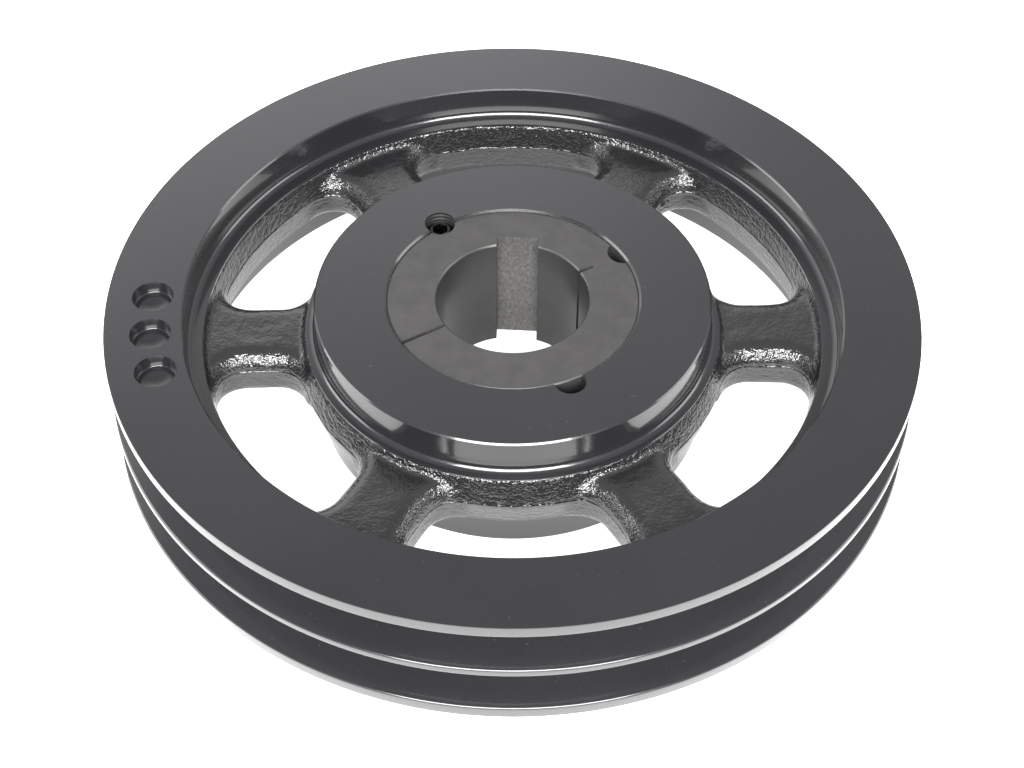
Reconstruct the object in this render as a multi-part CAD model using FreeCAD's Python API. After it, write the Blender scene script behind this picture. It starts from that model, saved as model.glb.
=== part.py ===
"""Two-groove V belt pulley with six arms, clamped to its shaft by a split taper bush.

Frame: millimetres, +Z up along the shaft axis towards the bush's large end, +X almost along an arm.
The origin is on the axis at the level of the hub's lower face, so the pulley lies flat on z = 0.
"""

import FreeCAD, Part
import math
import os

os.makedirs("parts", exist_ok=True)

# Overall sizes
rim_outer_r = 132.0        # outside of the rim, over the belt lands
rim_width = 44.0           # face width for two grooves
hub_length = 45.8          # the hub stands 1.8 below the rim and is flush with it above
rim_inner_r = 107.0        # turned bore of the rim
hub_neck_r = 64.7          # turned outside of the hub

# Belt grooves
groove_pitch = 19.0        # distance between groove centres
groove_top = 16.4          # width across the mouth of a groove
groove_depth = 17.5
groove_half_angle = 19.0   # half of the 38 degree groove
land_edge_r = 0.6          # edge rounding on the lands

# Turned recess on each side, and the cast section between the recesses
recess_depth = 12.0
recess_fillet = 2.5
rim_ring_r = 101.5         # cast ring inside the rim, at the turned ledges
hub_ring_r = 68.2          # cast ring around the hub, at the turned ledges
ring_bulge = 2.7           # how far each cast ring swells at its mid height
arm_count = 6
arm_width = 26.0
arm_thickness = 16.5
arm_middle = 22.3          # height of the arms' middle, a little under the rim's
arm_turn = 0.65            # degrees from +X to the nearest arm
arm_edge_r = 5.0           # rounding along the arms and round the windows
window_inner_r = 70.0
window_outer_r = 99.4
window_corner_r = 10.0
face_chamfer = 1.2         # edge breaks on the turned faces
rim_edge = 0.5             # edge breaks at the outside of the rim

# Taper bore and bush
taper = math.tan(math.radians(4.0))  # radius lost per millimetre of depth
hub_bore_r = 41.3          # taper bore at the hub's upper face
hub_bore_break = 0.4       # edge break at the mouth of the taper bore
bush_length = 45.0
taper_gap = 0.03           # radial gap of the seated taper
bush_chamfer = 0.8
shaft_r = 25.0
shaft_chamfer = 1.2
keyway_width = 14.0
keyway_floor = 28.8        # from the shaft axis to the floor of the keyway
keyway_angle = 86.0
split_width = 1.3
split_angle = 210.5        # saw cut through one side of the bush
relief_angle = 28.0        # shallow slot that lets the bush close
relief_depth = 5.2

# Screw positions on the joint between bush and hub
screw_pitch_r = 42.5
screw_hole_r = 5.1
screw_hole_depth = 28.0    # below the hub's upper face
lock_angle = 125.0         # holds the set screw: half in the hub, half in the bush
hub_only_angle = 294.5     # second tapped half-hole, in the hub only
jack_angle = 29.5          # tapped half-hole in the bush only

# Set screw
screw_r = 5.0
screw_length = 25.0
screw_chamfer = 1.0
screw_end_gap = 0.2        # between the screw and the floor of its half-hole
socket_flats = 5.0
socket_depth = 5.0

# Drilled balance holes in the rim's upper face
balance_r = 117.0
balance_hole_r = 6.9
balance_depth = 4.3
balance_point = 1.0        # extra depth of the drill point
balance_angles = (180.2, 188.5, 196.8)

rim_top = hub_length
rim_bottom = hub_length - rim_width
rim_middle = (rim_top + rim_bottom) / 2
ledge_top = rim_top - recess_depth
ledge_bottom = rim_bottom + recess_depth
axis = FreeCAD.Vector(0, 0, 1)
origin = FreeCAD.Vector(0, 0, 0)


def around(solid, degrees):
    """A copy of a solid, turned about the shaft axis."""
    turned = solid.copy()
    turned.rotate(origin, axis, degrees)
    return turned


def outline(corners):
    """A closed wire in the X-Z half plane from corners (x, z) or (x, z, rounding radius)."""
    points = [FreeCAD.Vector(c[0], 0, c[1]) for c in corners]
    radii = [c[2] if len(c) > 2 else 0.0 for c in corners]
    pieces = []
    ends = []
    for i, corner in enumerate(points):
        if radii[i] == 0.0:
            ends.append((corner, corner))
            continue
        to_last = (points[i - 1] - corner).normalize()
        to_next = (points[(i + 1) % len(points)] - corner).normalize()
        half = to_last.getAngle(to_next) / 2
        reach = radii[i] / math.tan(half)
        first = corner + to_last * reach
        last = corner + to_next * reach
        centre = corner + (to_last + to_next).normalize() * (radii[i] / math.sin(half))
        middle = centre + (corner - centre).normalize() * radii[i]
        pieces.append(Part.Arc(first, middle, last).toShape())
        ends.append((first, last))
    for i, (_, start) in enumerate(ends):
        stop = ends[(i + 1) % len(ends)][0]
        pieces.append(Part.makeLine(start, stop))
    return Part.Wire(Part.__sortEdges__(pieces))


def turned(corners):
    """The solid that a lathe would make from an outline."""
    return Part.Face(outline(corners)).revolve(origin, axis, 360)


def drilled(radius, depth, pitch_r, degrees, top, floor=0.0):
    """A round hole's solid, from just above a face down, with an optional drill point."""
    start = FreeCAD.Vector(pitch_r, 0, top - depth)
    hole = Part.makeCylinder(radius, depth + 1.0, start, axis)
    if floor > 0.0:
        point = Part.makeCone(0.0, radius, floor, start - axis * floor, axis)
        hole = hole.fuse(point)
    return around(hole, degrees)


def rim():
    """The turned rim with its two grooves and the cast ring inside it."""
    drop = groove_depth * math.tan(math.radians(groove_half_angle))
    root_r = rim_outer_r - groove_depth
    corners = [
        (rim_inner_r, rim_bottom),
        (rim_outer_r - rim_edge, rim_bottom),
        (rim_outer_r, rim_bottom + rim_edge),
    ]
    for side in (-1, 1):
        centre = rim_middle + side * groove_pitch / 2
        corners += [
            (rim_outer_r, centre - groove_top / 2, land_edge_r),
            (root_r, centre - groove_top / 2 + drop, land_edge_r),
            (root_r, centre + groove_top / 2 - drop, land_edge_r),
            (rim_outer_r, centre + groove_top / 2, land_edge_r),
        ]
    corners += [
        (rim_outer_r, rim_top - rim_edge),
        (rim_outer_r - rim_edge, rim_top),
        (rim_inner_r + face_chamfer, rim_top),
        (rim_inner_r, rim_top - face_chamfer),
        (rim_inner_r, ledge_top, recess_fillet),
        (rim_ring_r, ledge_top),
        (rim_ring_r - ring_bulge, rim_middle),
        (rim_ring_r, ledge_bottom),
        (rim_inner_r, ledge_bottom, recess_fillet),
    ]
    return turned(corners)


def hub():
    """The turned hub with its taper bore and the cast ring around it."""
    bore_low_r = hub_bore_r - hub_length * taper
    return turned([
        (bore_low_r, 0.0),
        (hub_neck_r - face_chamfer, 0.0),
        (hub_neck_r, face_chamfer),
        (hub_neck_r, ledge_bottom, recess_fillet),
        (hub_ring_r, ledge_bottom),
        (hub_ring_r + ring_bulge, rim_middle),
        (hub_ring_r, ledge_top),
        (hub_neck_r, ledge_top, recess_fillet),
        (hub_neck_r, hub_length - face_chamfer),
        (hub_neck_r - face_chamfer, hub_length),
        (hub_bore_r + hub_bore_break, hub_length),
        (hub_bore_r - hub_bore_break * taper, hub_length - hub_bore_break),
    ])


def spider():
    """The six arms: a disc with six rounded windows, every window edge rounded over."""
    low = arm_middle - arm_thickness / 2
    base = FreeCAD.Vector(0, 0, low)
    spread = Part.makeCylinder(window_outer_r, arm_thickness, base, axis)
    spread = spread.cut(Part.makeCylinder(window_inner_r, arm_thickness, base, axis))
    for step in range(arm_count // 2):
        start = FreeCAD.Vector(-rim_outer_r, -arm_width / 2, low)
        bar = Part.makeBox(2 * rim_outer_r, arm_width, arm_thickness, start)
        spread = spread.cut(around(bar, arm_turn + step * 360.0 / arm_count))
    disc = Part.makeCylinder(rim_inner_r - recess_fillet, arm_thickness, base, axis)
    disc = disc.cut(Part.makeCylinder(hub_neck_r - recess_fillet, arm_thickness, base, axis))
    for window in spread.Solids:
        uprights = [e for e in window.Edges if abs(e.Vertexes[0].Z - e.Vertexes[-1].Z) > 1.0]
        disc = disc.cut(window.makeFillet(window_corner_r, uprights))
    inside_r = (hub_neck_r + window_inner_r) / 2 - 1.0
    outside_r = rim_inner_r - recess_fillet - 1.0
    rims = []
    for edge in disc.Edges:
        flat = edge.BoundBox.ZLength < 0.01
        reach = [math.hypot(v.X, v.Y) for v in edge.Vertexes]
        if flat and min(reach) > inside_r and max(reach) < outside_r:
            rims.append(edge)
    return disc.makeFillet(arm_edge_r, rims)


def screw_floor():
    """The level of the floor under the set screw."""
    return hub_length - screw_hole_depth


def pulley_casting():
    """The one-piece iron casting: rim, arms and hub, drilled and tapped."""
    body = rim().fuse([hub(), spider()]).removeSplitter()
    for degrees in (lock_angle, hub_only_angle):
        hole = drilled(screw_hole_r, screw_hole_depth, screw_pitch_r, degrees, hub_length)
        body = body.cut(hole)
    for degrees in balance_angles:
        hole = drilled(balance_hole_r, balance_depth, balance_r, degrees, rim_top, balance_point)
        body = body.cut(hole)
    return body


def taper_bush():
    """The split taper bush: taper outside, keyed shaft bore, saw cut and screw half-holes."""
    high_r = hub_bore_r - (hub_length - bush_length) * taper - taper_gap
    low_r = high_r - bush_length * taper
    shoulder_r = high_r - bush_chamfer * taper
    body = turned([
        (shaft_r + shaft_chamfer, 0.0),
        (low_r - bush_chamfer, 0.0),
        (low_r + bush_chamfer * taper, bush_chamfer),
        (shoulder_r, bush_length - bush_chamfer),
        (shoulder_r - bush_chamfer, bush_length),
        (shaft_r + shaft_chamfer, bush_length),
        (shaft_r, bush_length - shaft_chamfer),
        (shaft_r, shaft_chamfer),
    ])
    start = FreeCAD.Vector(0, -keyway_width / 2, -1)
    keyway = Part.makeBox(keyway_floor, keyway_width, bush_length + 2, start)
    start = FreeCAD.Vector(shaft_r / 2, -split_width / 2, -1)
    split = Part.makeBox(rim_outer_r, split_width, bush_length + 2, start)
    relief = Part.makeBox(shaft_r / 2 + relief_depth, split_width, bush_length + 2, start)
    body = body.cut(around(keyway, keyway_angle))
    body = body.cut(around(split, split_angle))
    body = body.cut(around(relief, relief_angle))
    for degrees in (lock_angle, jack_angle):
        hole = drilled(screw_hole_r, screw_hole_depth, screw_pitch_r, degrees, hub_length)
        body = body.cut(hole)
    return body


def set_screw():
    """The hexagon socket set screw, standing on the floor of the locking hole."""
    low = screw_floor() + screw_end_gap
    high = low + screw_length
    body = turned([
        (0.0, low),
        (screw_r - screw_chamfer, low),
        (screw_r, low + screw_chamfer),
        (screw_r, high - screw_chamfer),
        (screw_r - screw_chamfer, high),
        (0.0, high),
    ])
    corner = socket_flats / math.sqrt(3)
    ring = [
        FreeCAD.Vector(
            corner * math.cos(math.radians(60 * i)),
            corner * math.sin(math.radians(60 * i)),
            high - socket_depth,
        )
        for i in range(7)
    ]
    socket = Part.Face(Part.makePolygon(ring)).extrude(axis * (socket_depth + 1))
    body = body.cut(socket)
    body.translate(FreeCAD.Vector(screw_pitch_r, 0, 0))
    return around(body, lock_angle)


def save(name, shape):
    """Write one node's STEP file and report what it holds."""
    solid = shape.Solids[0]
    if len(shape.Solids) != 1 or not solid.isValid():
        raise RuntimeError(name + " is not one valid solid")
    solid.exportStep("parts/" + name + ".step")
    box = solid.BoundBox
    print(f"{name}: volume {solid.Volume / 1000:.1f} cm3, z {box.ZMin:.2f} to {box.ZMax:.2f}")


save("pulley_casting", pulley_casting())
save("taper_bush", taper_bush())
save("set_screw", set_screw())
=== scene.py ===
# %% [markdown]
# # A V belt pulley on a taper bush
#
# A pulley like this is three things: a black painted iron casting, a split iron bush that grips the
# shaft, and a set screw that draws the bush into its taper. The engineering model already holds all
# three as plain solids. This lesson keeps their places and sizes, and makes the surfaces that a
# foundry, a lathe and a paint gun leave behind.

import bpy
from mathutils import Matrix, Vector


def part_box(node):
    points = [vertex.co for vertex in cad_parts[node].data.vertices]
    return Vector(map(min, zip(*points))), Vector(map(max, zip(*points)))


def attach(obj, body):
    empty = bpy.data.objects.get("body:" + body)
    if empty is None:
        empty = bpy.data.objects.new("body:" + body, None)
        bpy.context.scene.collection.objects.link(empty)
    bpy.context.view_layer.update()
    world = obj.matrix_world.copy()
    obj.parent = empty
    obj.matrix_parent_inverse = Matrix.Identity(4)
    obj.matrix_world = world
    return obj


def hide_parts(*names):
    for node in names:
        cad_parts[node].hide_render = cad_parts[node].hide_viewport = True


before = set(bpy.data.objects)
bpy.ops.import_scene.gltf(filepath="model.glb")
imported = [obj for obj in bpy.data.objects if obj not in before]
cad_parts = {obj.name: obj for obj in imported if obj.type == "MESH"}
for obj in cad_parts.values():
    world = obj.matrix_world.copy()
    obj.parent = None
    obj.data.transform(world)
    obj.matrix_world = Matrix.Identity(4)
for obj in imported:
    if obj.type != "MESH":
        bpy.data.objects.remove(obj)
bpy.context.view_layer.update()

# %% The tools this lesson uses
import math
import bpy
import bmesh
from mathutils import Matrix, Vector, noise

MM = 0.001
FULL_TURN = 2 * math.pi

# %% [markdown]
# The sizes come from the engineering model wherever its boxes give them: the rim's radius, the two
# heights, the bush and the screw. The rest are the lathe's and the foundry's own dimensions, in
# millimetres, and every piece below is worked out from them.

# %% Sizes from the frame
casting_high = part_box("pulley_casting")[1]
bush_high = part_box("taper_bush")[1]
screw_low, screw_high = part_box("set_screw")
rim_r = casting_high.x / MM
top = casting_high.z / MM
bush_top = bush_high.z / MM
screw_foot = screw_low.z / MM
screw_top = screw_high.z / MM
screw_x = (screw_low.x + screw_high.x) / 2 / MM
screw_y = (screw_low.y + screw_high.y) / 2 / MM
lock_angle = math.degrees(math.atan2(screw_y, screw_x))
pitch_r = math.hypot(screw_x, screw_y)
print(f"rim {rim_r:.1f}, height {top:.1f}, bush {bush_top:.1f}, screw at {lock_angle:.1f} degrees")

# %% Sizes of the turned faces
rim_low = 1.8
rim_mid = (top + rim_low) / 2
rim_bore_r = 107.0
hub_r = 64.7
recess = 12.0
ledge_high = top - recess
ledge_low = rim_low + recess
ledge_fillet = 2.5
lip_height = 1.5
lip_depth = 1.3
lip_round = 0.25
face_break = 0.5
outer_break = 0.5

groove_pitch = 19.0
groove_top = 16.4
groove_depth = 17.5
groove_slope = math.tan(math.radians(19.0))
land_round = 0.6

# %% Sizes of the cast middle
rim_ring_r = 101.5
hub_ring_r = 68.2
rim_ring_bulge = 1.7
hub_ring_bulge = 2.7
arm_count = 6
arm_half = 13.0
arm_thick = 16.5
arm_middle = 22.3
arm_turn = 0.65
arm_upper_round = 6.0
arm_lower_round = 4.0
corner_r = 10.0
ring_inset = 0.35
ring_back = 2.6
ring_edge_share = 0.06
parting_half = 0.4

# %% Sizes of the bush and its holes
taper = math.tan(math.radians(4.0))
bore_top_r = 41.3
bore_low_break = 0.5
bore_high_break = 0.6
bush_gap = 0.03
bush_break = 0.45
shaft_r = 25.0
shaft_break = 0.5
key_width = 14.0
key_floor = 28.8
key_angle = 86.0
slit = 1.3
slit_angle = 210.5
relief_angle = 28.0
relief_depth = 5.2
hole_r = 5.1
hole_depth = 28.0
spare_angle = 294.5
jack_angle = 29.5
thread_pitch = 1.5
tap_groove_depth = 0.35
tap_groove_width = 0.9

# %% [markdown]
# Almost everything here was made on a lathe, so the first helper is a lathe. It takes the corners
# of half a section, and each corner may be cut back: one step makes a chamfer and more steps make a
# round. A vertex bevel on the bare outline does that before the outline is spun, which keeps every
# ring of the finished mesh clean.

# %% A piece from a bmesh
def finish_mesh(work, name, sharp=30.0):
    """Turns a bmesh in millimetres into an object in metres, with smooth faces and sharp corners."""
    bmesh.ops.recalc_face_normals(work, faces=work.faces)
    bmesh.ops.scale(work, vec=(MM, MM, MM), verts=work.verts)
    mesh = bpy.data.meshes.new(name)
    work.to_mesh(mesh)
    work.free()
    mesh.shade_smooth()
    mesh.set_sharp_from_angle(angle=math.radians(sharp))
    piece = bpy.data.objects.new(name, mesh)
    bpy.context.scene.collection.objects.link(piece)
    print(f"{name}: {len(mesh.polygons)} faces")
    return piece


# %% The lathe
def lathe(corners, steps):
    """A solid of revolution from corners (radius, height) or (radius, height, cut, segments).

    The outline closes on itself, unless it starts and ends on the axis.
    """
    work = bmesh.new()
    verts = [work.verts.new((c[0], 0.0, c[1])) for c in corners]
    solid = corners[0][0] == 0.0 and corners[-1][0] == 0.0
    for here, there in zip(verts, verts[1:]):
        work.edges.new((here, there))
    if not solid:
        work.edges.new((verts[-1], verts[0]))
    for vert, corner in zip(verts, corners):
        if len(corner) > 2:
            bmesh.ops.bevel(
                work, geom=[vert], affect="VERTICES", offset_type="OFFSET",
                offset=corner[2], segments=corner[3], profile=0.5, material=-1,
            )
    bmesh.ops.spin(
        work, geom=list(work.verts) + list(work.edges), cent=(0, 0, 0), axis=(0, 0, 1),
        angle=FULL_TURN, steps=steps, use_merge=True,
    )
    bmesh.ops.remove_doubles(work, verts=work.verts, dist=0.001)
    return work


# %% [markdown]
# Drilled and milled features are cut with solid tools, as they are in the workshop. A boolean
# modifier does the cutting, and its result is kept as the new mesh, so the tool can be thrown away.
# The exact solver is slower than the fast one, but it copes with faces that lie in one plane.

# %% Cutting tools
def cut(piece, tools):
    """Takes each tool's volume out of the piece and removes the tools."""
    for tool in tools:
        modifier = piece.modifiers.new("cut", "BOOLEAN")
        modifier.operation = "DIFFERENCE"
        modifier.solver = "EXACT"
        modifier.object = tool
    keep(piece)
    for tool in tools:
        bpy.data.meshes.remove(tool.data)


def keep(piece, sharp=30.0):
    """Replaces the piece's mesh with the result of its modifiers."""
    graph = bpy.context.evaluated_depsgraph_get()
    mesh = bpy.data.meshes.new_from_object(piece.evaluated_get(graph))
    before = piece.data
    piece.modifiers.clear()
    piece.data = mesh
    bpy.data.meshes.remove(before)
    mesh.shade_smooth()
    mesh.set_sharp_from_angle(angle=math.radians(sharp))
    print(f"{piece.name}: {len(mesh.polygons)} faces, {len(mesh.vertices)} corners")


def flatten_shading(piece):
    """Weighs each corner's normal by face area, so wide faces beside small rounds look flat."""
    weights = piece.modifiers.new("flatten", "WEIGHTED_NORMAL")
    weights.keep_sharp = True
    weights.weight = 50


def place(work, radius, degrees):
    """Moves a tool out to a radius and round to an angle."""
    bmesh.ops.translate(work, vec=(radius, 0, 0), verts=work.verts)
    turn = Matrix.Rotation(math.radians(degrees), 3, "Z")
    bmesh.ops.rotate(work, cent=(0, 0, 0), matrix=turn, verts=work.verts)
    return work


def plain_drill(degrees):
    """A straight hole on the joint between bush and hub."""
    work = bmesh.new()
    bmesh.ops.create_cone(
        work, cap_ends=True, segments=48, radius1=hole_r, radius2=hole_r, depth=hole_depth + 2
    )
    bmesh.ops.translate(work, vec=(0, 0, top + 1 - hole_depth / 2), verts=work.verts)
    return finish_mesh(place(work, pitch_r, degrees), "drill")


def tap(degrees):
    """A threaded hole: a drill whose wall carries a groove for every turn of the thread."""
    floor = top - hole_depth
    corners = [(0.0, floor), (hole_r, floor)]
    turns = int(hole_depth / thread_pitch)
    for turn in range(turns):
        level = floor + 1.0 + turn * thread_pitch
        crest = (hole_r + tap_groove_depth, level + tap_groove_width / 2)
        corners += [(hole_r, level), crest, (hole_r, level + tap_groove_width)]
    corners += [(hole_r, top + 2), (0.0, top + 2)]
    return finish_mesh(place(lathe(corners, 48), pitch_r, degrees), "tap")


def cutter_bar(length, width, low, high, degrees, start=0.0):
    """A flat milling cut that runs out from the axis at an angle."""
    work = bmesh.new()
    bmesh.ops.create_cube(work, size=1.0)
    bmesh.ops.scale(work, vec=(length, width, high - low), verts=work.verts)
    bmesh.ops.translate(work, vec=(0, 0, (high + low) / 2), verts=work.verts)
    return finish_mesh(place(work, start + length / 2, degrees), "bar")


# %% [markdown]
# ## The rim
#
# The rim is turned all over: two V grooves with narrow lands between them, flat faces, and a
# stepped recess inside on both sides. Its section is listed once, going round from the lower inner
# corner, with one loop for the two grooves. The three blind holes in its face were drilled to
# balance the pulley, and the drill's shallow point is still at the bottom of each.

# %% Turn the rim
def rim_section():
    """Corners of the rim's section."""
    root_r = rim_r - groove_depth
    drop = groove_depth * groove_slope
    inside_r = rim_ring_r + lip_depth
    corners = [
        (rim_bore_r, rim_low, face_break, 1),
        (rim_r, rim_low, outer_break, 2),
    ]
    for side in (-1, 1):
        middle = rim_mid + side * groove_pitch / 2
        corners += [
            (rim_r, middle - groove_top / 2, land_round, 4),
            (root_r, middle - groove_top / 2 + drop, land_round, 3),
            (root_r, middle + groove_top / 2 - drop, land_round, 3),
            (rim_r, middle + groove_top / 2, land_round, 4),
        ]
    corners += [
        (rim_r, top, outer_break, 2),
        (rim_bore_r, top, face_break, 1),
        (rim_bore_r, ledge_high, ledge_fillet, 8),
        (rim_ring_r, ledge_high, lip_round, 2),
        (rim_ring_r, ledge_high - lip_height),
        (inside_r, ledge_high - lip_height),
        (inside_r, ledge_low + lip_height),
        (rim_ring_r, ledge_low + lip_height),
        (rim_ring_r, ledge_low, lip_round, 2),
        (rim_bore_r, ledge_low, ledge_fillet, 8),
    ]
    return corners


rim = finish_mesh(lathe(rim_section(), 360), "rim")

# %% Drill the balance holes
balance_r = 117.0
balance_hole_r = 6.9
balance_depth = 4.3
balance_point = 1.0
balance_floor_r = balance_hole_r - 2.4
balance_angles = (180.2, 188.5, 196.8)


def balance_drill(degrees):
    """A drill with a shallow point and a small round where the point meets the wall."""
    corners = [
        (0.0, top - balance_depth - balance_point),
        (balance_floor_r, top - balance_depth, 0.6, 3),
        (balance_hole_r - 0.5, top - balance_depth, 0.4, 3),
        (balance_hole_r - 0.2, top),
        (balance_hole_r, top),
        (balance_hole_r, top + 1),
        (0.0, top + 1),
    ]
    return finish_mesh(place(lathe(corners, 64), balance_r, degrees), "balance_drill")


cut(rim, [balance_drill(degrees) for degrees in balance_angles])

# %% [markdown]
# ## The hub
#
# The hub is the rim's small brother: the same recess on its outside and a taper bore in its middle.
# Two half-round tapped holes lie on the bore's edge. One holds the set screw and the other is the
# spare. The holes are cut with a tap whose grooves stand outside the screw's own radius, so that
# the screw never touches them.

# %% Turn and tap the hub
def hub_section():
    """Corners of the hub's section."""
    inside_r = hub_ring_r - lip_depth
    return [
        (bore_top_r - top * taper, 0.0, bore_low_break, 1),
        (hub_r, 0.0, face_break, 1),
        (hub_r, ledge_low, ledge_fillet, 8),
        (hub_ring_r, ledge_low, lip_round, 2),
        (hub_ring_r, ledge_low + lip_height),
        (inside_r, ledge_low + lip_height),
        (inside_r, ledge_high - lip_height),
        (hub_ring_r, ledge_high - lip_height),
        (hub_ring_r, ledge_high, lip_round, 2),
        (hub_r, ledge_high, ledge_fillet, 8),
        (hub_r, top, face_break, 1),
        (bore_top_r, top, bore_high_break, 1),
    ]


hub = finish_mesh(lathe(hub_section(), 240), "hub")
cut(hub, [tap(lock_angle), tap(spare_angle)])

# %% [markdown]
# ## The cast arms
#
# Between the turned faces the iron is as it left the sand. Six flat arms flow into a ring round the
# hub and a ring inside the rim, and each window wall swells to a parting line at half height, where
# the two halves of the mould met. The rings come off the lathe helper, and each arm is a plan
# outline, extruded and rounded over. A voxel remesh then melds them into one skin, and light smoothing
# gives the soft fillets that a pattern maker would fill with wax.

# %% Joining work
def merge_into(whole, part):
    """Adds one bmesh to another and frees it."""
    mesh = bpy.data.meshes.new("part")
    part.to_mesh(mesh)
    part.free()
    whole.from_mesh(mesh)
    bpy.data.meshes.remove(mesh)


# %% The two cast rings
def cast_rings():
    """Both rings in one bmesh, each swelling to the parting line."""
    low = ledge_low + ring_inset
    high = ledge_high - ring_inset
    sides = (
        (rim_ring_r, rim_ring_r + ring_back, -rim_ring_bulge),
        (hub_ring_r, hub_ring_r - ring_back, hub_ring_bulge),
    )
    work = bmesh.new()
    for wall_r, back_r, swell in sides:
        ring = lathe([
            (back_r, low),
            (wall_r + ring_edge_share * swell, low),
            (wall_r + swell, rim_mid - parting_half),
            (wall_r + swell, rim_mid + parting_half),
            (wall_r + ring_edge_share * swell, high),
            (back_r, high),
        ], 180)
        bmesh.ops.recalc_face_normals(ring, faces=ring.faces)
        merge_into(work, ring)
    return work


# %% The plan of one arm
arm_root = 7.0


def arm_plan(work, sign):
    """Vertices of one side of an arm, from hub to rim, with the cuts that round its corners."""
    centre_y = arm_half + corner_r
    found = []
    for ring_r, way in ((hub_ring_r + hub_ring_bulge, 1), (rim_ring_r - rim_ring_bulge, -1)):
        reach = ring_r + way * corner_r
        centre_x = math.sqrt(reach ** 2 - centre_y ** 2)
        lean = math.atan2(centre_y, centre_x)
        tangent = corner_r * math.tan((math.pi / 2 - way * lean) / 2)
        corner_x = centre_x - way * tangent
        along = tangent + 0.6
        foot_x = corner_x - along * math.sin(lean)
        foot_y = arm_half + along * math.cos(lean)
        foot = work.verts.new((foot_x, sign * foot_y, 0))
        corner = work.verts.new((corner_x, sign * arm_half, 0))
        back = work.verts.new((foot_x - way * arm_root, sign * foot_y, 0))
        found.append((back, foot, corner, tangent))
    return found


# %% One arm
def arm(work_all, degrees):
    """Adds one arm to the casting's bmesh, turned to its place."""
    work = bmesh.new()
    left = arm_plan(work, 1)
    right = arm_plan(work, -1)
    loop = [left[0][0], left[0][1], left[0][2], left[1][2], left[1][1], left[1][0]]
    loop += [right[1][0], right[1][1], right[1][2], right[0][2], right[0][1], right[0][0]]
    for here, there in zip(loop, loop[1:] + loop[:1]):
        work.edges.new((here, there))
    for _, _, corner, tangent in left + right:
        bmesh.ops.bevel(
            work, geom=[corner], affect="VERTICES", offset_type="OFFSET",
            offset=tangent, segments=8, profile=0.5, material=-1,
        )
    bmesh.ops.contextual_create(work, geom=work.edges)
    low = arm_middle - arm_thick / 2
    bmesh.ops.translate(work, vec=(0, 0, low), verts=work.verts)
    raised = bmesh.ops.extrude_face_region(work, geom=work.faces[:])["geom"]
    lifted = [g for g in raised if isinstance(g, bmesh.types.BMVert)]
    bmesh.ops.translate(work, vec=(0, 0, arm_thick), verts=lifted)
    bmesh.ops.recalc_face_normals(work, faces=work.faces)
    reach = [v.co.x for v in work.verts]
    ends = (min(reach) + 0.01, max(reach) - 0.01)
    for level, size in ((low, arm_lower_round), (low + arm_thick, arm_upper_round)):
        rounded = []
        for edge in work.edges:
            flat = all(abs(v.co.z - level) < 0.01 for v in edge.verts)
            free = all(ends[0] < v.co.x < ends[1] for v in edge.verts)
            if flat and free:
                rounded.append(edge)
        bmesh.ops.bevel(
            work, geom=rounded, affect="EDGES", offset_type="OFFSET", offset=size,
            segments=6, profile=0.5, material=-1, clamp_overlap=False,
        )
    merge_into(work_all, place(work, 0.0, degrees))


# %% Meld the arms and rings
voxel = 0.9
casting_work = cast_rings()
for number in range(arm_count):
    arm(casting_work, arm_turn + number * 360 / arm_count)
arms = finish_mesh(casting_work, "cast_arms")
melt = arms.modifiers.new("meld", "REMESH")
melt.mode = "VOXEL"
melt.voxel_size = voxel * MM
melt.use_smooth_shade = True
soften = arms.modifiers.new("soften", "SMOOTH")
soften.factor = 0.5
soften.iterations = 4
keep(arms, sharp=180.0)

# %% [markdown]
# Sand castings are never flat. Two sizes of noise push each point in or out along its normal: a
# broad one for the pattern's wear and a finer one for the sand. The push fades out next to the
# turned ledges, because a lathe tool has just passed there.

# %% Roughen the cast skin
def cast_skin(piece, broad=0.22, sandy=0.07):
    """Moves each point along its normal by seeded noise, except beside the turned ledges."""
    work = bmesh.new()
    work.from_mesh(piece.data)
    work.normal_update()
    moved = 0.0
    for vert in work.verts:
        at = vert.co / MM
        radius = math.hypot(at.x, at.y)
        edge = min(abs(radius - rim_ring_r), abs(radius - hub_ring_r))
        calm = 0.25 + 0.75 * min(edge / 3.0, 1.0)
        wave = broad * noise.noise(at / 11.0) + sandy * noise.noise(at / 2.8)
        vert.co += vert.normal * wave * calm * MM
        moved = max(moved, abs(wave * calm))
    work.to_mesh(piece.data)
    work.free()
    print(f"largest push {moved:.2f} mm")


cast_skin(arms)

# %% [markdown]
# ## The taper bush
#
# The bush is an iron sleeve, tapered outside and straight inside, split right through on one side
# so that it can close on the shaft. The lathe helper makes the sleeve, and the keyway, the saw cut,
# the shallow relief slot and the two half holes are cut from it. The jacking hole carries a thread
# on the bush's side, and the locking hole is plain there.

# %% Turn and cut the bush
def bush_section():
    """Corners of the bush's section."""
    high_r = bore_top_r - (top - bush_top) * taper - bush_gap
    low_r = high_r - bush_top * taper
    return [
        (shaft_r, 0.0, shaft_break, 1),
        (low_r, 0.0, bush_break, 1),
        (high_r, bush_top, bush_break, 1),
        (shaft_r, bush_top, shaft_break, 1),
    ]


bush = finish_mesh(lathe(bush_section(), 192), "bush")
ends = (-1, bush_top + 1)
inside = shaft_r / 2
cut(bush, [
    cutter_bar(key_floor, key_width, *ends, key_angle),
    cutter_bar(rim_r, slit, *ends, slit_angle, start=inside),
    cutter_bar(inside + relief_depth, slit, *ends, relief_angle, start=inside),
    plain_drill(lock_angle),
    tap(jack_angle),
])

# %% [markdown]
# ## The set screw
#
# The screw has no head. It is a threaded stud with a hexagon socket in its end. A real helix costs
# little: a triangle spun round the axis, with a small lift at each step, sweeps one continuous
# thread, and the stud's core fills its middle.

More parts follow.
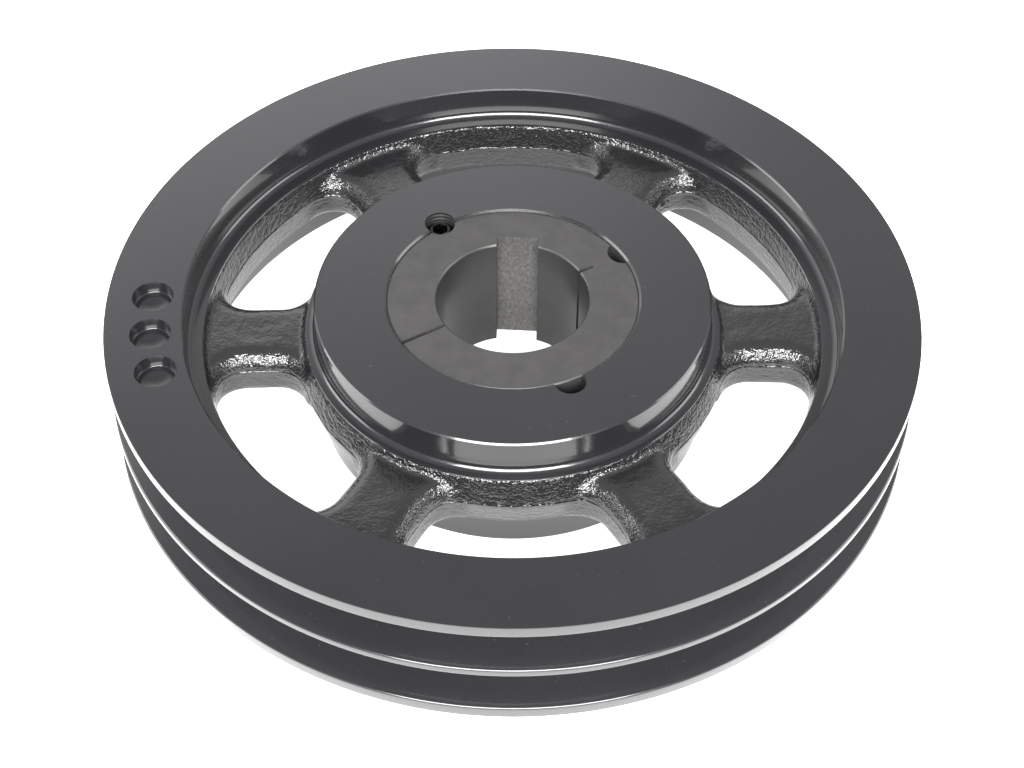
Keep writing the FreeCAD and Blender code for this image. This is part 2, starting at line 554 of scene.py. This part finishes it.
# %% The screw's thread
def thread(work, pitch, major_r, low, high, steps=24):
    """Adds one closed helical ridge between two heights."""
    turns = int((high - low) / pitch)
    root_r = major_r - 0.9
    root_half = 0.62
    crest_half = 0.08
    ridge = [(root_r, -root_half), (major_r, -crest_half), (major_r, crest_half), (root_r, root_half)]
    verts = [work.verts.new((r, 0, low + pitch / 2 + z)) for r, z in ridge]
    face = work.faces.new(verts)
    edges = list(face.edges)
    lift = (0, 0, pitch / steps)
    swept = bmesh.ops.spin(
        work, geom=edges + verts, cent=(0, 0, 0), axis=(0, 0, 1), dvec=lift,
        angle=FULL_TURN * turns, steps=steps * turns,
    )
    last = [g for g in swept["geom_last"] if isinstance(g, bmesh.types.BMEdge)]
    bmesh.ops.contextual_create(work, geom=last)


# %% Make the screw
screw_r = 5.0
socket_flats = 5.0
socket_depth = 5.0
cup_r = 3.4
core_r = screw_r - 0.8
screw = finish_mesh(place(lathe([
    (0.0, screw_foot),
    (core_r, screw_foot, 0.4, 2),
    (core_r, screw_top - 1.2),
    (cup_r, screw_top, 0.2, 2),
    (0.0, screw_top),
], 48), pitch_r, lock_angle), "socket_set_screw")

# %% Cut the socket
def hexagon_key():
    """A hexagon bar as wide as the socket."""
    work = bmesh.new()
    corner = socket_flats / math.sqrt(3)
    bmesh.ops.create_cone(
        work, cap_ends=True, segments=6, radius1=corner, radius2=corner, depth=socket_depth + 1
    )
    bmesh.ops.translate(work, vec=(0, 0, screw_top + 0.5 - socket_depth / 2), verts=work.verts)
    return finish_mesh(place(work, pitch_r, lock_angle), "key")


cut(screw, [hexagon_key()])

# %% Wind the thread on
winding = bmesh.new()
thread(winding, thread_pitch, screw_r, screw_foot + 0.3, screw_top - 1.0)
bmesh.ops.recalc_face_normals(winding, faces=winding.faces)
bmesh.ops.scale(winding, vec=(MM, MM, MM), verts=winding.verts)
screw_axis = ((screw_low + screw_high) / 2).to_2d().to_3d()
bmesh.ops.translate(winding, vec=screw_axis, verts=winding.verts)
winding.from_mesh(screw.data)
winding.to_mesh(screw.data)
winding.free()
screw.data.shade_smooth()
screw.data.set_sharp_from_angle(angle=math.radians(30.0))
print(f"{screw.name}: {len(screw.data.polygons)} faces with its thread")

# %% [markdown]
# ## Writing materials as sums
#
# A node tree is a calculation, so it reads best as one. A small class wraps a socket and turns +, -,
# * and ** into Math nodes, and one method makes every other kind of node from its settings and
# its inputs.

# %% A socket that can be used in sums
class Signal:
    """One output socket, usable in Python sums."""

    def __init__(self, board, socket):
        self.board = board
        self.socket = socket

    def work(self, operation, first, second=0.0):
        return self.board.node("ShaderNodeMath", {"operation": operation}, {0: first, 1: second})

    def __add__(self, other):
        return self.work("ADD", self, other)

    def __radd__(self, other):
        return self.work("ADD", other, self)

    def __sub__(self, other):
        return self.work("SUBTRACT", self, other)

    def __rsub__(self, other):
        return self.work("SUBTRACT", other, self)

    def __mul__(self, other):
        return self.work("MULTIPLY", self, other)

    def __rmul__(self, other):
        return self.work("MULTIPLY", other, self)

    def __pow__(self, other):
        return self.work("POWER", self, other)

    def absolute(self):
        return self.work("ABSOLUTE", self)

    def above(self, low, high):
        """0 below low, 1 above high and a smooth rise between."""
        ends = {"Value": self, "From Min": low, "From Max": high}
        return self.board.node("ShaderNodeMapRange", {"interpolation_type": "SMOOTHSTEP"}, ends)


# %% A board of nodes
class Board:
    """A node tree with one way of adding nodes."""

    def __init__(self, tree):
        self.tree = tree
        tree.nodes.clear()

    def node(self, kind, settings=None, inputs=None, output=0):
        """Adds a node and returns one of its outputs."""
        made = self.tree.nodes.new(kind)
        for name, value in (settings or {}).items():
            setattr(made, name, value)
        for name, value in (inputs or {}).items():
            if isinstance(value, Signal):
                self.tree.links.new(value.socket, made.inputs[name])
            else:
                made.inputs[name].default_value = value
        return Signal(self, made.outputs[output]) if len(made.outputs) else None

    def mix(self, share, first, second):
        """A colour between two others."""
        settings = {"data_type": "RGBA"}
        return self.node("ShaderNodeMix", settings, {0: share, 6: first, 7: second}, output=2)

    def noise(self, size, detail=2.0, rough=0.5, stretch=None):
        """Noise whose blobs are about size millimetres across."""
        spot = self.where()
        if stretch:
            spot = self.node("ShaderNodeMapping", None, {"Vector": spot, "Scale": stretch})
        grain = {"Vector": spot, "Scale": 1.0 / (size * MM), "Detail": detail, "Roughness": rough}
        return self.node("ShaderNodeTexNoise", None, grain)

    def where(self):
        """The place on the piece, in metres."""
        return self.node("ShaderNodeTexCoord", None, None, output="Object")

    def axes(self):
        """Radius from the shaft axis and height, both in millimetres."""
        made = self.tree.nodes.new("ShaderNodeSeparateXYZ")
        self.tree.links.new(self.where().socket, made.inputs[0])
        x, y, z = (Signal(self, made.outputs[i]) for i in range(3))
        return (x * x + y * y) ** 0.5 * (1 / MM), z * (1 / MM)


# %% A finish
class Finish(Board):
    """A material with one Principled shader."""

    def __init__(self, name):
        self.material = bpy.data.materials.new(name)
        self.material.use_nodes = True
        super().__init__(self.material.node_tree)

    def surface(self, **inputs):
        """Feeds the Principled shader. Underscores in the names stand for spaces."""
        named = {name.replace("_", " "): value for name, value in inputs.items()}
        shader = self.node("ShaderNodeBsdfPrincipled", None, named)
        self.node("ShaderNodeOutputMaterial", None, {"Surface": shader})
        return self.material

    def bump(self, height, depth, under=None):
        """A normal from a height of 0 to 1, depth millimetres deep."""
        inputs = {"Height": height, "Distance": depth * MM, "Strength": 1.0}
        if under:
            inputs["Normal"] = under
        return self.node("ShaderNodeBump", None, inputs)


# %% [markdown]
# ## Paint
#
# One tin of black enamel covers the casting, but it lies differently on the two kinds of iron. Over
# turned iron it dries to an even satin film, and the tool's fine rings only just show. Over the
# sand-cast skin it stays glossy and puckered, so each small hollow throws its own spark of light.

# %% Enamel over turned iron
def turned_enamel():
    finish = Finish("turned_enamel")
    drift = finish.noise(60.0, 3.0)
    dust = finish.noise(1.3, 1.0, 0.5).above(0.75, 0.80)
    film = finish.noise(1.3, 2.0)
    rings = finish.noise(1.0, 2.0, 0.6, stretch=(0.02, 0.02, 1.0))
    colour = finish.mix(drift, (0.0090, 0.0086, 0.0098, 1), (0.0150, 0.0142, 0.0158, 1))
    colour = finish.mix(dust * 0.25, colour, (0.06, 0.06, 0.06, 1))
    rough = 0.24 + (drift - 0.5) * 0.10 + dust * 0.2
    normal = finish.bump(film * 0.7 + rings * 0.3, 0.004)
    return finish.surface(
        Base_Color=colour, Roughness=rough, Normal=normal,
        Coat_Weight=0.9, Coat_Roughness=0.08, IOR=1.5,
    )


# %% Enamel over the cast skin
def cast_enamel():
    finish = Finish("cast_enamel")
    _, height = finish.axes()
    facing = finish.node("ShaderNodeNewGeometry", None, None, output="Normal")
    upright = finish.node("ShaderNodeSeparateXYZ", None, {0: facing}, output=2).absolute()
    wall = 1.0 - upright.above(0.2, 0.9)
    tilt = (1.0 - upright.above(0.75, 0.995)) * (0.45 + upright.above(0.3, 0.5) * 0.55)
    sand = finish.noise(2.2, 3.0, 0.6, stretch=(1.0, 1.0, 1.4))
    grain = finish.noise(0.9, 1.0, 0.5)
    wander = (finish.noise(9.0, 2.0) - 0.5) * 1.4
    crest = 1.0 - (height - rim_mid + wander).absolute().above(0.0, 0.9)
    colour = finish.mix(sand, (0.0080, 0.0077, 0.0085, 1), (0.0140, 0.0134, 0.0146, 1))
    rough = 0.12 + sand * 0.10
    normal = finish.bump(sand * (0.3 + tilt * 0.7), 0.75)
    normal = finish.bump(grain * (0.2 + tilt * 0.8), 0.3, normal)
    normal = finish.bump(crest * wall, 0.3, normal)
    return finish.surface(Base_Color=colour, Roughness=rough, Normal=normal, IOR=1.85)


# %% [markdown]
# ## Bare iron and steel
#
# The taper bore of the hub is left bare, because paint there would stop the taper from gripping.
# The bush is grey iron with a thin phosphate coat, dull and slightly blotchy. The screw is
# blackened steel, worn bright where a key has been turned in its socket.

# %% Bored iron
def bored_iron():
    finish = Finish("bored_iron")
    rings = finish.noise(0.5, 3.0, 0.6, stretch=(0.03, 0.03, 1.0))
    stain = finish.noise(9.0, 3.0)
    colour = finish.mix(stain, (0.30, 0.29, 0.28, 1), (0.52, 0.51, 0.50, 1))
    return finish.surface(
        Base_Color=colour, Metallic=1.0, Roughness=0.30 + stain * 0.2,
        Normal=finish.bump(rings, 0.02),
    )


# %% Phosphated bush
def bush_iron():
    finish = Finish("bush_iron")
    radius, height = finish.axes()
    cloud = finish.noise(7.0, 4.0, 0.6)
    fleck = finish.noise(0.8, 2.0, 0.7).above(0.72, 0.78)
    # Darker inside the shaft bore: painted shade in the bore, which is also made a little glossier.
    bore_painted_shade = 1.0 - radius.above(shaft_r + 0.1, shaft_r + 0.4)
    slot = radius.above(shaft_r + 0.6, shaft_r + 0.9) * (1.0 - radius.above(32.0, 32.5))
    slot = slot * (1.0 - height.above(bush_top - 0.3, bush_top - 0.1))
    streak = finish.noise(0.7, 5.0, 0.75, stretch=(1.0, 1.0, 0.45)).above(0.35, 0.75)
    grit = finish.noise(0.35, 3.0, 0.7)
    tool = finish.noise(0.8, 2.0, 0.6, stretch=(0.02, 0.02, 1.0))
    colour = finish.mix(cloud.above(0.3, 0.7), (0.084, 0.082, 0.080, 1), (0.100, 0.097, 0.095, 1))
    colour = finish.mix(bore_painted_shade * 0.5, colour, (0.02, 0.02, 0.02, 1))
    colour = finish.mix(slot * streak * 0.6, colour, (0.26, 0.255, 0.25, 1))
    colour = finish.mix(fleck * 0.4, colour, (0.30, 0.29, 0.28, 1))
    return finish.surface(
        Base_Color=colour, Metallic=0.6, Roughness=0.38 + cloud * 0.08 - bore_painted_shade * 0.1,
        Normal=finish.bump(grit * 0.4 + tool * 0.6, 0.012),
    )


# %% Blackened steel
def screw_steel():
    finish = Finish("screw_steel")
    _, height = finish.axes()
    scuff = finish.noise(0.8, 3.0, 0.6)
    end = height.above(screw_top - 0.5, screw_top - 0.1)
    worn = end * 0.15 + scuff.above(0.6, 0.7) * 0.2
    colour = finish.mix(worn, (0.010, 0.010, 0.011, 1), (0.45, 0.44, 0.44, 1))
    return finish.surface(
        Base_Color=colour, Metallic=0.9, Roughness=0.30 + scuff * 0.2,
        Normal=finish.bump(scuff, 0.01),
    )


# %% Painted shade in the tapped holes
# The hole walls are coloured near-black as painted shade, standing in for the shade inside the holes;
# the noise only mottles that shade.
def hole_painted_shade():
    finish = Finish("hole_painted_shade")
    hole_shade_mottle = finish.noise(1.2, 3.0, 0.6)
    colour = finish.mix(hole_shade_mottle, (0.003, 0.003, 0.003, 1), (0.008, 0.008, 0.008, 1))
    return finish.surface(
        Base_Color=colour, Roughness=0.55 + hole_shade_mottle * 0.2, Normal=finish.bump(hole_shade_mottle, 0.05)
    )


# %% Paint and place the pieces
def in_hole(face, angles):
    """Whether a face is part of a drilled hole's wall or floor."""
    if face.center.z > (bush_top - 0.01) * MM or face.center.z < MM:
        return False
    reach = (hole_r + 0.4) * MM
    for degrees in angles:
        turn = math.radians(degrees)
        across = face.center.x - pitch_r * MM * math.cos(turn)
        along = face.center.y - pitch_r * MM * math.sin(turn)
        if math.hypot(across, along) < reach:
            return True
    return False


enamel = turned_enamel()
skin = cast_enamel()
bore_finish = bored_iron()
hole_shade_finish = hole_painted_shade()

finishes = (
    (rim, (enamel,)),
    (arms, (skin,)),
    (hub, (enamel, bore_finish, hole_shade_finish)),
    (bush, (bush_iron(), hole_shade_finish)),
    (screw, (screw_steel(),)),
)
for piece, coats in finishes:
    for coat in coats:
        piece.data.materials.append(coat)
    print(piece.name, [coat.name for coat in coats])

bare_r = (bore_top_r - 0.05) * MM
# Faces inside the tapped holes get the painted shade; the bore below its top edge gets bare iron.
for face in hub.data.polygons:
    if in_hole(face, (lock_angle, spare_angle)):
        face.material_index = 2
    elif math.hypot(face.center.x, face.center.y) < bare_r:
        face.material_index = 1
# Faces inside the bush's two holes get the same painted shade.
for face in bush.data.polygons:
    if in_hole(face, (lock_angle, jack_angle)):
        face.material_index = 1

for piece in (rim, hub, bush, screw):
    flatten_shading(piece)

for piece in (rim, arms, hub):
    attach(piece, "casting")
    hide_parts("pulley_casting")
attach(bush, "bush")
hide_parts("taper_bush")
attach(screw, "screw")
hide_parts("set_screw")

# %% [markdown]
# ## The studio
#
# Black enamel shows little but reflections, so the room matters more than the lamps. The pulley
# lies on a glowing white table, which the lands and the window walls mirror. Its glow is halved just
# under the pulley, a painted shadow. A pale screen behind it fades upwards and lights the flat faces.
# A large soft box in front makes the sparks along the arms, and two weaker ones stand at the sides.

# %% The light table
def light_table():
    work = bmesh.new()
    bmesh.ops.create_grid(work, x_segments=1, y_segments=1, size=4000.0)
    bmesh.ops.translate(work, vec=(0, 0, -0.5), verts=work.verts)
    table = finish_mesh(work, "light_table")
    glow = Finish("table_white")
    shift = {"Vector": glow.where(), "Location": (0.0, -0.045, 0.0)}
    spot = glow.node("ShaderNodeMapping", None, shift)
    reach = glow.node("ShaderNodeVectorMath", {"operation": "LENGTH"}, {0: spot}, output="Value")
    # Half the glow in a disc just under the pulley: a painted shadow on the table.
    glow_with_painted_shadow = glow.mix(reach.above(0.100, 0.130), (0.5, 0.5, 0.5, 1), (1.0, 1.0, 1.0, 1))
    table.data.materials.append(glow.surface(
        Base_Color=(0.5, 0.5, 0.5, 1), Roughness=0.6, Emission_Color=glow_with_painted_shadow, Emission_Strength=2.0,
    ))


light_table()

# %% The room
def room():
    """A grey room with a pale screen behind the pulley, brighter on the left and fading upwards."""
    world = bpy.data.worlds.new("room")
    bpy.context.scene.world = world
    world.use_nodes = True
    board = Board(world.node_tree)
    made = board.tree.nodes.new("ShaderNodeSeparateXYZ")
    view = board.node("ShaderNodeTexCoord", None, None, "Generated")
    board.tree.links.new(view.socket, made.inputs[0])
    x, y, z = (Signal(board, made.outputs[i]) for i in range(3))
    fade = 1.0 - z.above(0.58, 0.80)
    side = 1.0 - x.above(-0.02, 0.20) * 0.8
    behind = y.above(0.2, 0.5)
    light = 0.46 + fade * side * behind
    glow = {"Color": (1.0, 1.0, 1.02, 1), "Strength": light}
    shade = board.node("ShaderNodeBackground", None, glow)
    board.node("ShaderNodeOutputWorld", None, {"Surface": shade})
    print("room lit, brightest behind the pulley")


room()

# %% The soft boxes
def soft_box(name, at, size, glow):
    """A rectangular lamp that faces the pulley, with glow as its brightness."""
    data = bpy.data.lights.new(name, "AREA")
    data.shape = "RECTANGLE"
    data.size, data.size_y = size
    data.energy = glow * math.pi * size[0] * size[1]
    lamp = bpy.data.objects.new(name, data)
    lamp.location = at
    lamp.rotation_euler = Vector(at).to_track_quat("Z", "Y").to_euler()
    bpy.context.scene.collection.objects.link(lamp)
    print(f"{name}: {size[0]:.1f} by {size[1]:.1f} m")


soft_box("front_box", (0.0, -2.0, 1.5), (2.2, 1.3), 22.0)
soft_box("left_box", (-2.3, 0.2, 1.0), (1.4, 1.2), 5.0)
soft_box("right_box", (2.3, 0.2, 1.0), (1.4, 1.2), 4.0)

# %% [markdown]
# ## The camera
#
# The camera looks down at the hub's upper face from about an arm's length. At that distance the
# far side of the rim looks clearly smaller than the near side.

# %% Place the camera
def place_camera(distance, elevation, azimuth, roll):
    data = bpy.data.cameras.new("camera")
    data.sensor_width = 36.0
    data.lens = 67.8
    data.shift_x = -0.0007
    data.shift_y = -0.0872
    data.clip_end = 50.0
    camera = bpy.data.objects.new("camera", data)
    flat = distance * math.cos(elevation)
    offset = Vector((flat * math.cos(azimuth), flat * math.sin(azimuth), distance * math.sin(elevation)))
    camera.location = Vector((0, 0, top * MM)) + offset
    facing = offset.to_track_quat("Z", "Y").to_matrix().to_4x4()
    camera.rotation_euler = (facing @ Matrix.Rotation(roll, 4, "Z")).to_euler()
    bpy.context.scene.collection.objects.link(camera)
    bpy.context.scene.camera = camera
    print(f"camera {distance:.3f} m away, {math.degrees(elevation):.1f} degrees up")


place_camera(0.628, math.radians(44.482), math.radians(-90.7), math.radians(0.367))
bpy.context.scene.view_settings.view_transform = "Standard"
bpy.context.scene.view_settings.look = "None"
